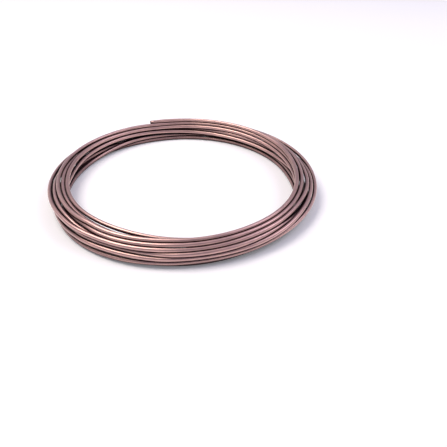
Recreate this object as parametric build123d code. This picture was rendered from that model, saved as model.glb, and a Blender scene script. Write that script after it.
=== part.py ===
from build123d import *
import os
from math import radians, sin, sqrt

# Coil of small copper tube, lying flat: the turns of one long tube, stacked and leaning on each other.
# The stack is turned as one solid ring, with an eight-sided ridge for each turn that shows.
# The last half turn rises out of the ring and ends in the tube's round, open cut end.
# Millimetres, +Z up, origin on the floor at the coil's axis.

# The tube: 3/16 in outside, 0.028 in wall
tube_outside = 4.76
tube_wall = 0.71

# The ring: turns in staggered layers from the floor up, each nipping its neighbours by turn_nip
coil_outside = 320.0
turn_nip = 0.17
turns_in_layers = (3, 4, 3, 4, 3, 2, 1)
stagger_angle = 60.0
# Sides of a turn's section, flat to the floor: a ring of round turns would be too heavy to mesh
turn_sides = 8

# The free end: its place round the ring, its straight stretch, and how far it springs off the ring
end_angle = 105.0
end_straight = 14.0
end_lift = 1.0
# How far the half turn has sunk below its seat on the far side of the ring
sink_depth = 4.0

tube_radius = tube_outside / 2
bore_radius = tube_radius - tube_wall
turn_pitch = tube_outside - turn_nip
layer_rise = turn_pitch * sin(radians(stagger_angle))
widest_layer = max(turns_in_layers)
mean_radius = coil_outside / 2 - tube_radius - (widest_layer - 1) / 2 * turn_pitch


def turn_section():
    """One turn's section: as wide and high across its flats as the round tube."""
    return RegularPolygon(tube_radius, turn_sides, major_radius=False, rotation=180 / turn_sides)


def layer_places(layer):
    """Radius and height of each turn in one layer, from the inside out."""
    count = turns_in_layers[layer]
    height = tube_radius + layer * layer_rise
    return [(mean_radius + (turn - (count - 1) / 2) * turn_pitch, height) for turn in range(count)]


layers = [layer_places(layer) for layer in range(len(turns_in_layers))]


def stacked_turns():
    """The stacked turns as one turned ring, with a ridge for each turn on its outline."""
    inner_side = [places[0] for places in layers]
    outer_side = [places[-1] for places in reversed(layers)]
    top_is_one_turn = inner_side[-1] == outer_side[0]
    outline = inner_side + (outer_side[1:] if top_is_one_turn else outer_side)
    section = make_face(Polyline(*outline, close=True))
    for places in layers:
        for place in places:
            section += Pos(*place) * turn_section()
    return revolve(Plane.XZ * section, Axis.Z)


def shoulder(rise):
    """Radius and height of a turn in the topmost outer groove, lifted by rise off its seat there."""
    upper = Vector(*layers[-1][-1])
    lower = Vector(*layers[-2][-1])
    along = (lower - upper).normalized()
    outward = Vector(-along.Y, along.X)
    seat_depth = sqrt(tube_outside**2 - (turn_pitch / 2) ** 2)
    return (upper + lower) / 2 + outward * (seat_depth + rise)


def last_half_turn():
    """The half turn that comes up out of the ring, its straight stretch, and the bore in its cut end."""
    start = shoulder(end_lift)
    sunk = shoulder(-sink_depth)
    here = Vector(start.X, 0, start.Y)
    opposite = Vector(-sunk.X, 0, sunk.Y)
    tangent = Vector(0, 1, 0)
    cut = Plane(origin=here, z_dir=tangent)
    turn_axis = Axis((here + opposite) / 2, tangent.cross(here - opposite))
    turn = revolve(cut * turn_section(), turn_axis, revolution_arc=180)
    straight = extrude(cut * Circle(tube_radius), amount=end_straight)
    bore = extrude(cut * Circle(bore_radius), amount=end_straight)
    return Rot(Z=end_angle) * (turn + straight), Rot(Z=end_angle) * bore


def tube_coil():
    turn, bore = last_half_turn()
    return stacked_turns() + turn - bore


coil = tube_coil()
coil.label = "tube_coil"
os.makedirs("parts", exist_ok=True)
export_step(coil, "parts/tube_coil.step")
print("size", coil.bounding_box().size, "volume", round(coil.volume, 1), "solids", len(coil.solids()))
start = shoulder(end_lift)
print("end of tube: radius", round(start.X, 3), "height", round(start.Y, 3), "mean radius", mean_radius)
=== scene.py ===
import math
import bpy
import numpy as np
from mathutils import Matrix, Vector


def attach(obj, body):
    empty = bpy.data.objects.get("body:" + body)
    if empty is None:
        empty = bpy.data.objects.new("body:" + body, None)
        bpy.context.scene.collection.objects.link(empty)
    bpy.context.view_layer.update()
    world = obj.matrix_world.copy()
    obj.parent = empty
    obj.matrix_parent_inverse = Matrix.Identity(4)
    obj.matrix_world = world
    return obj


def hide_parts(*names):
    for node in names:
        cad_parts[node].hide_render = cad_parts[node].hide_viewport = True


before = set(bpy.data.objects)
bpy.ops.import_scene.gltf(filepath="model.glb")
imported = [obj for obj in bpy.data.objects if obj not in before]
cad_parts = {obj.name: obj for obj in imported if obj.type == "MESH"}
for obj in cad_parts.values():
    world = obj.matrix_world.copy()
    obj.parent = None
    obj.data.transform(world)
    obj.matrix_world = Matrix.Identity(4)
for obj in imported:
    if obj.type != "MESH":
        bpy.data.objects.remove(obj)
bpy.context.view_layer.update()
print("frame loaded")


# One socket of a shader, so that sums on it read as sums.
class Flow:
    def __init__(self, tree, socket):
        self.tree = tree
        self.socket = socket

    # Any node: its settings first, then what goes into its sockets.
    def node(self, kind, settings, feeds, take=0):
        made = self.tree.nodes.new(kind)
        for name, value in settings.items():
            setattr(made, name, value)
        for place, value in feeds.items():
            self.feed(made.inputs[place], value)
        return Flow(self.tree, made.outputs[take])

    def feed(self, place, value):
        if isinstance(value, Flow):
            self.tree.links.new(value.socket, place)
        else:
            place.default_value = value

    def maths(self, how, first, second):
        return self.node("ShaderNodeMath", {"operation": how}, {0: first, 1: second})

    def __add__(self, other):
        return self.maths("ADD", self, other)

    def __radd__(self, other):
        return self.maths("ADD", other, self)

    def __mul__(self, other):
        return self.maths("MULTIPLY", self, other)

    def __rmul__(self, other):
        return self.maths("MULTIPLY", other, self)

    # From 0 below one value to 1 above the other.
    def rise(self, low, high):
        return self.node("ShaderNodeMapRange", {"interpolation_type": "SMOOTHSTEP"},
                         {"Value": self, "From Min": low, "From Max": high})

    # From the first colour to the second. Sockets 6, 7 and 2 are the Mix node's colour ones.
    def tint(self, share, first, second):
        return self.node("ShaderNodeMix", {"data_type": "RGBA"},
                         {0: share, 6: first, 7: second}, 2)

    def noise(self, place, scale, detail):
        return self.node("ShaderNodeTexNoise", {},
                         {"Vector": place, "Scale": scale, "Detail": detail})

    def stretch(self, place, by):
        return self.node("ShaderNodeVectorMath", {"operation": "MULTIPLY"}, {0: place, 1: by})


def newFinish(name):
    finish = bpy.data.materials.new(name)
    finish.use_nodes = True
    shader = finish.node_tree.nodes["Principled BSDF"]
    return finish, shader, Flow(finish.node_tree, shader.outputs[0])


# The tube's sizes in metres, and its lay in tubes out from the ring and up from the floor.
coil = {
    "wide": 0.00476,  # across the tube
    "wall": 0.00071,
    "ringOut": 0.1456,  # the lay is measured out from this circle
    "startAngle": 107,  # the free end, at the back
    "startPlace": (1.25, 4.95),
    "endAngle": 275,  # the hidden end, under the front
    "endPlace": (-0.1, 1.5),
    "step": 2,  # degrees from one ring of points to the next
    "sides": 16,
    "firstStop": 90,  # each turn is placed at the back first
    "stopGap": 30,  # and then this many degrees on, round by the right and the front
    "turns": [
        [(1.25, 5.2), (0.45, 5.45), (-0.6, 5.5), (-1.8, 5.5), (-1.55, 5.35), (-1.1, 5.25),
         (-0.6, 5.2), (-0.25, 5.1), (-0.1, 5.0), (0.4, 5.05), (0.95, 5.0), (0.75, 5.0)],
        [(0.9, 4.5), (0.2, 4.6), (-0.85, 4.55), (-1.55, 4.5), (-1.9, 4.4), (-1.6, 4.3),
         (-1.65, 4.8), (-2.3, 5.15), (-2.05, 5.1), (-1.75, 4.85), (-0.4, 4.6), (0.1, 4.2)],
        [(0.25, 3.8), (-0.35, 3.85), (-1.3, 3.75), (-1.9, 3.6), (-1.2, 3.6), (-0.9, 3.5),
         (-1.0, 4.0), (-1.1, 4.6), (-1.2, 4.8), (-0.7, 4.9), (0.45, 4.1), (1.2, 4.1)],
        [(2.1, 4.8), (1.3, 5.0), (0.3, 5.2), (-0.5, 5.2), (-0.55, 5.0), (-0.3, 4.85),
         (0.05, 4.7), (0.4, 4.5), (0.15, 4.0), (-1.55, 2.85), (-0.7, 3.2), (-0.3, 3.15)],
        [(-0.35, 2.42), (-1.1, 2.15), (-1.7, 2.2), (-0.6, 2.5), (1.0, 3.1), (1.1, 3.65),
         (1.2, 3.4), (0.95, 2.98), (1.5, 3.2), (1.95, 2.9), (0.72, 2.0), (0.75, 2.2)],
        [(0.75, 3.0), (-0.65, 3.0), (-0.85, 2.8), (-0.45, 3.4), (-0.12, 3.3), (0.05, 3.2),
         (-0.2, 3.3), (0.2, 3.5), (1.1, 4.5), (1.0, 4.4), (1.4, 2.85), (1.25, 2.95)],
        [(1.55, 3.85), (1.2, 4.0), (0.95, 4.5), (0.5, 4.8), (0.4, 4.6), (0.5, 4.35),
         (0.65, 4.0), (1.05, 3.9), (2.1, 4.2), (2.4, 4.0), (2.1, 4.0), (2.0, 3.6)],
        [(2.5, 4.0), (2.1, 4.4), (2.35, 4.45), (2.8, 3.9), (2.6, 2.9), (1.5, 1.85),
         (1.3, 1.35), (1.95, 0.85), (1.6, 0.5), (0.3, 0.5), (0.3, 0.6), (-0.5, 0.55)],
        [(-0.6, 0.5), (-0.95, 0.5), (-1.6, 0.5), (-2.1, 0.5), (-0.3, 0.5), (0.1, 0.5),
         (0.8, 0.5), (1.0, 0.5), (0.3, 0.5), (-1.0, 0.5), (-0.85, 0.5), (-0.5, 1.5)],
        [(0.05, 1.1), (0.55, 1.42), (1.4, 3.0), (1.72, 4.15), (1.84, 3.9), (1.45, 2.9),
         (1.35, 2.35), (1.75, 2.4), (1.95, 1.85), (1.1, 1.2), (0.12, 1.75), (0.45, 1.55)],
        [(1.25, 1.15), (0.6, 0.5), (-0.95, 1.22), (-1.45, 1.35), (-0.2, 1.85), (-0.1, 1.6)],
    ],
    # More places where a turn swings out: the turn, counted from 0, and the angle there.
    "extraAt": {(7, 345): (2.9, 3.4), (6, 345): (0.95, 4.7), (4, 345): (1.05, 2.8)},
}


# Degrees wound from the free end to an angle of the ring.
def woundTo(turn, angle):
    return coil["startAngle"] + 360 * turn - angle


# The lay as one run of points: degrees wound from the free end, and the place there.
def windingPoints():
    points = [(0, coil["startPlace"])]
    for turn, places in enumerate(coil["turns"]):
        for stop, place in enumerate(places):
            points.append((woundTo(turn, coil["firstStop"] - coil["stopGap"] * stop), place))
    for (turn, angle), place in coil["extraAt"].items():
        points.append((woundTo(turn + 1, angle), place))
    points.append((woundTo(len(coil["turns"]), coil["endAngle"]), coil["endPlace"]))
    points.sort()
    return np.array([p[0] for p in points], float), np.array([p[1] for p in points], float)


# A smooth line through the points, read at each step.
def smoothLine(wound, places, steps):
    slopes = np.gradient(places, wound, axis=0)
    which = np.clip(np.searchsorted(wound, steps, side="right") - 1, 0, len(wound) - 2)
    gap = wound[which + 1] - wound[which]
    t = ((steps - wound[which]) / gap)[:, None]
    gap = gap[:, None]
    return ((2 * t**3 - 3 * t**2 + 1) * places[which]
            + (t**3 - 2 * t**2 + t) * gap * slopes[which]
            + (3 * t**2 - 2 * t**3) * places[which + 1]
            + (t**3 - t**2) * gap * slopes[which + 1])


settling = {
    "apart": 1.005,  # how near two turns may lie, in tubes
    "lowest": 0.5,  # how low the middle of a tube may lie, in tubes
    "rounds": 500,
    "evenRounds": 440,  # after these the turns only push
    "push": 0.45,  # the share of an overlap that each turn gives way by
    "even": 0.3,  # how much a kink is evened out
    "hold": 0.03,  # how much a turn is held to its drawn line
}


# Turns that meet push each other aside, as they do when the coil is wound.
def settle(line):
    count = len(line)
    perTurn = 360 // coil["step"]
    turns = -(-count // perTurn)
    full = np.full((turns * perTurn, 2), np.nan)  # the last turn is filled up with blanks
    full[:count] = line
    for go in range(settling["rounds"]):
        stack = full.reshape(turns, perTurn, 2)
        between = stack[:, None] - stack[None, :]
        away = np.sqrt((between**2).sum(-1)) + 1e-9  # never 0, since it divides
        near = np.where(away < settling["apart"], settling["apart"] - away, 0)
        near[np.arange(turns), np.arange(turns)] = 0
        aside = np.nan_to_num(between / away[..., None])
        push = (aside * near[..., None]).sum(axis=1) * settling["push"]
        moved = full[:count] + push.reshape(-1, 2)[:count]
        if go < settling["evenRounds"]:
            evened = moved.copy()
            evened[2:-2] = (moved[:-4] + moved[4:]
                            + 2 * moved[1:-3] + 2 * moved[3:-1] + 2 * moved[2:-2]) / 8
            moved = (moved + settling["even"] * (evened - moved)
                     + settling["hold"] * (line - moved))
        moved[:, 1] = np.maximum(moved[:, 1], settling["lowest"])
        full[:count] = moved
    return full[:count]


# A round tube along the path, open at both ends, with its length.
def tubeMesh(name, path, outside, bore, sides):
    count = len(path)
    along = np.gradient(path, axis=0)
    along /= np.linalg.norm(along, axis=1)[:, None]
    side = np.cross(along, (0, 0, 1))
    side /= np.linalg.norm(side, axis=1)[:, None]
    above = np.cross(side, along)
    run = np.concatenate([[0], np.cumsum(np.linalg.norm(np.diff(path, axis=0), axis=1))])
    verts, faces, marks = [], [], []  # marks: share of the way round, metres along
    for size in (outside, bore):
        for i in range(count):
            for k in range(sides):
                a = 2 * math.pi * k / sides
                verts.append(path[i] + size * (math.cos(a) * side[i] + math.sin(a) * above[i]))
    inner = count * sides  # the bore's points come after the outside's
    for i in range(count - 1):
        for k in range(sides):
            a, b = i * sides + k, i * sides + (k + 1) % sides
            c, d = b + sides, a + sides
            spot = [(k / sides, run[i]), ((k + 1) / sides, run[i]),
                    ((k + 1) / sides, run[i + 1]), (k / sides, run[i + 1])]
            faces.append((a, b, c, d))
            marks.append(spot)
            faces.append((inner + d, inner + c, inner + b, inner + a))
            marks.append(spot[::-1])
    for i, first in ((0, True), (count - 1, False)):  # the cut ends
        for k in range(sides):
            a, b = i * sides + k, i * sides + (k + 1) % sides
            rim = (b, a, inner + a, inner + b) if first else (a, b, inner + b, inner + a)
            faces.append(rim)
            marks.append([(k / sides, run[i])] * 4)
    mesh = bpy.data.meshes.new(name)
    mesh.from_pydata([tuple(v) for v in verts], [], faces)
    mesh.validate()
    mesh.polygons.foreach_set("use_smooth", [True] * len(faces))
    mesh.uv_layers.new(name="alongTube").data.foreach_set("uv", np.array(marks).ravel())
    piece = bpy.data.objects.new(name, mesh)
    bpy.context.collection.objects.link(piece)
    return piece, float(run[-1])


wound, places = windingPoints()
steps = np.arange(0, wound[-1] + 0.01, coil["step"])  # a hair more, so that the last one counts
lay = settle(smoothLine(wound, places, steps))
angle = np.radians(coil["startAngle"] - steps)
out = coil["ringOut"] + coil["wide"] * lay[:, 0]
path = np.stack([out * np.cos(angle), out * np.sin(angle), coil["wide"] * lay[:, 1]], axis=1)
radius = coil["wide"] / 2
tube, tubeLong = tubeMesh("tube", path, radius, radius - coil["wall"], coil["sides"])
print("tube wound:", round(len(steps) * coil["step"] / 360, 2), "turns,", round(tubeLong, 2), "m")

metal = {
    "warm": (0.68, 0.425, 0.38, 1),
    "dull": (0.52, 0.325, 0.305, 1),
    "cloudScale": 55,  # soft patches of warm and dull
    "cloudSpan": (0.3, 0.7),
    "cloudShare": 0.7,
    "fineGrain": (40, 300, 1),  # marks round the tube, and for each metre along it
    "drawnGrain": (60, 30, 1),  # long ones, from the drawing
    "groove": (0.03, 0.008, 0.011, 1),  # painted shade: a near-black put into the colour where turns touch
    "grooveReach": 0.014,
    "grooveSpan": (0.42, 0.99),
    "rough": 0.31,
    "fineRough": 0.10,
    "drawnRough": 0.06,
    "film": 0.6,  # a thin trace of oil
    "filmRough": 0.25,
    "bump": 0.12,
    "bumpDeep": 0.0002,
    "bumpFine": 0.5,
}
finish, shader, flow = newFinish("drawnMetal")
where = flow.node("ShaderNodeTexCoord", {}, {}, "Object")
unrolled = flow.node("ShaderNodeUVMap", {"uv_map": "alongTube"}, {})
cloud = flow.noise(where, metal["cloudScale"], detail=3).rise(*metal["cloudSpan"])
fine = flow.noise(flow.stretch(unrolled, metal["fineGrain"]), scale=1, detail=3)
drawn = flow.noise(flow.stretch(unrolled, metal["drawnGrain"]), scale=1, detail=2)
# Painted shade: the ambient occlusion mask darkens the colour towards the painted groove shade
# where turns touch, and thins the oil film there.
openness = flow.node("ShaderNodeAmbientOcclusion", {"samples": 8},
                     {"Distance": metal["grooveReach"]}, "AO").rise(*metal["grooveSpan"])
warmth = cloud * metal["cloudShare"] + fine * (1 - metal["cloudShare"])
skin = flow.tint(warmth, metal["dull"], metal["warm"])
flow.feed(shader.inputs["Base Color"], flow.tint(openness, metal["groove"], skin))
roughness = metal["rough"] + metal["fineRough"] * fine + metal["drawnRough"] * drawn
flow.feed(shader.inputs["Roughness"], roughness)
shader.inputs["Metallic"].default_value = 1
flow.feed(shader.inputs["Coat Weight"], metal["film"] * openness)
shader.inputs["Coat Roughness"].default_value = metal["filmRough"]
bump = flow.node("ShaderNodeBump", {}, {"Height": drawn + metal["bumpFine"] * fine,
                                        "Strength": metal["bump"],
                                        "Distance": metal["bumpDeep"]})
flow.feed(shader.inputs["Normal"], bump)
tube.data.materials.append(finish)
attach(tube, "root")
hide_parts("tube_coil")
print("finish done")

paper = {"half": 4.0, "colour": (0.93, 0.93, 0.94, 1), "rough": 0.9, "glow": 0.13}
half = paper["half"]
corners = [(-half, -half, 0), (half, -half, 0), (half, half, 0), (-half, half, 0)]
ground = bpy.data.meshes.new("floor")
ground.from_pydata(corners, [], [(0, 1, 2, 3)])
floor = bpy.data.objects.new("floor", ground)
bpy.context.collection.objects.link(floor)
paperFinish, paperShader, paperFlow = newFinish("paper")
paperShader.inputs["Base Color"].default_value = paper["colour"]
paperShader.inputs["Roughness"].default_value = paper["rough"]
paperShader.inputs["Specular IOR Level"].default_value = 0
# A little glow for what is looked at, so that the paper ends up white and still takes the shadow.
looked = sum(paperFlow.node("ShaderNodeLightPath", {}, {}, ray)
             for ray in ("Is Camera Ray", "Is Glossy Ray", "Is Transmission Ray"))
glow = paperFlow.tint(looked, (0, 0, 0, 1), (1, 1, 1, 1))
paperFlow.feed(paperShader.inputs["Emission Color"], glow)
paperShader.inputs["Emission Strength"].default_value = paper["glow"]
ground.materials.append(paperFinish)

# A pale band all round at the floor's edge, dim above it and bright overhead.
sky = {
    "edge": (0.74, 0.74, 0.75, 1),
    "edgeSpan": (0.16, 0.3),  # the heights over which the band ends
    "low": (0.045, 0.04, 0.045, 1),
    "high": (0.53, 0.51, 0.66, 1),
    "highSpan": (0.05, 0.8),
    "front": 0.6,  # the room is dimmer in front
    "frontSpan": (-0.7, 0.3),
}
world = bpy.data.worlds.new("studio")
bpy.context.scene.world = world
world.use_nodes = True
air = world.node_tree.nodes["Background"]
airFlow = Flow(world.node_tree, air.outputs[0])
toward = airFlow.node("ShaderNodeTexCoord", {}, {}, "Generated")
height = airFlow.node("ShaderNodeSeparateXYZ", {}, {0: toward}, "Z")
depth = airFlow.node("ShaderNodeSeparateXYZ", {}, {0: toward}, "Y")
bright = sky["front"] + (1 - sky["front"]) * depth.rise(*sky["frontSpan"])
room = airFlow.tint(height.rise(*sky["highSpan"]) * bright, sky["low"], sky["high"])
band = airFlow.tint(height.rise(*sky["edgeSpan"]), sky["edge"], room)
airFlow.feed(air.inputs["Color"], band)

lamps = [
    {"name": "key", "at": (-1.1, 0.3, 2.25), "size": 1.4, "power": 42, "colour": (1, 0.93, 0.82)},
    {"name": "fill", "at": (1.5, 0.1, 1.7), "size": 1.0, "power": 11, "colour": (0.92, 0.88, 1)},
]
for lamp in lamps:
    light = bpy.data.lights.new(lamp["name"], "AREA")
    light.size = lamp["size"]
    light.energy = lamp["power"]
    light.color = lamp["colour"]
    holder = bpy.data.objects.new(lamp["name"], light)
    holder.location = lamp["at"]
    holder.rotation_euler = (-Vector(lamp["at"])).to_track_quat("-Z", "Y").to_euler()
    bpy.context.collection.objects.link(holder)
print("stage and lamps done")

view = {
    "picture": 447,  # pixels
    "lens": 500,  # pixels
    "sensor": 36,  # millimetres
    "above": 29.749,  # degrees
    "roll": -2.0708,
    "away": 0.61785,  # metres
    "nearest": 0.01,
    "aim": (183.63, 178.92),  # where the coil's middle shows
    "middle": 0.01383,  # the height of that middle
}


def placeCamera():
    up = math.radians(view["above"])
    offset = Vector((0, -math.cos(up), math.sin(up))) * view["away"]
    ahead = -offset.normalized()
    right = Vector((1, 0, 0))
    down = -right.cross(ahead)
    rows = Matrix((right, down, ahead))
    aimX, aimY = [(pixel - view["picture"] / 2) / view["lens"] for pixel in view["aim"]]
    aim = Vector((aimX, aimY, 1)).normalized()
    swing = Vector((0, 0, 1)).rotation_difference(aim).to_matrix()
    rows = swing @ Matrix.Rotation(math.radians(view["roll"]), 3, "Z") @ rows
    turn = Matrix((rows[0], -rows[1], -rows[2])).transposed().to_4x4()
    camera = bpy.data.objects.new("camera", bpy.data.cameras.new("camera"))
    camera.matrix_world = Matrix.Translation(offset + Vector((0, 0, view["middle"]))) @ turn
    camera.data.sensor_width = view["sensor"]
    camera.data.lens = view["sensor"] * view["lens"] / view["picture"]
    camera.data.clip_start = view["nearest"]
    bpy.context.collection.objects.link(camera)
    bpy.context.scene.camera = camera


placeCamera()
bpy.context.scene.view_settings.view_transform = "Standard"
print("camera done")
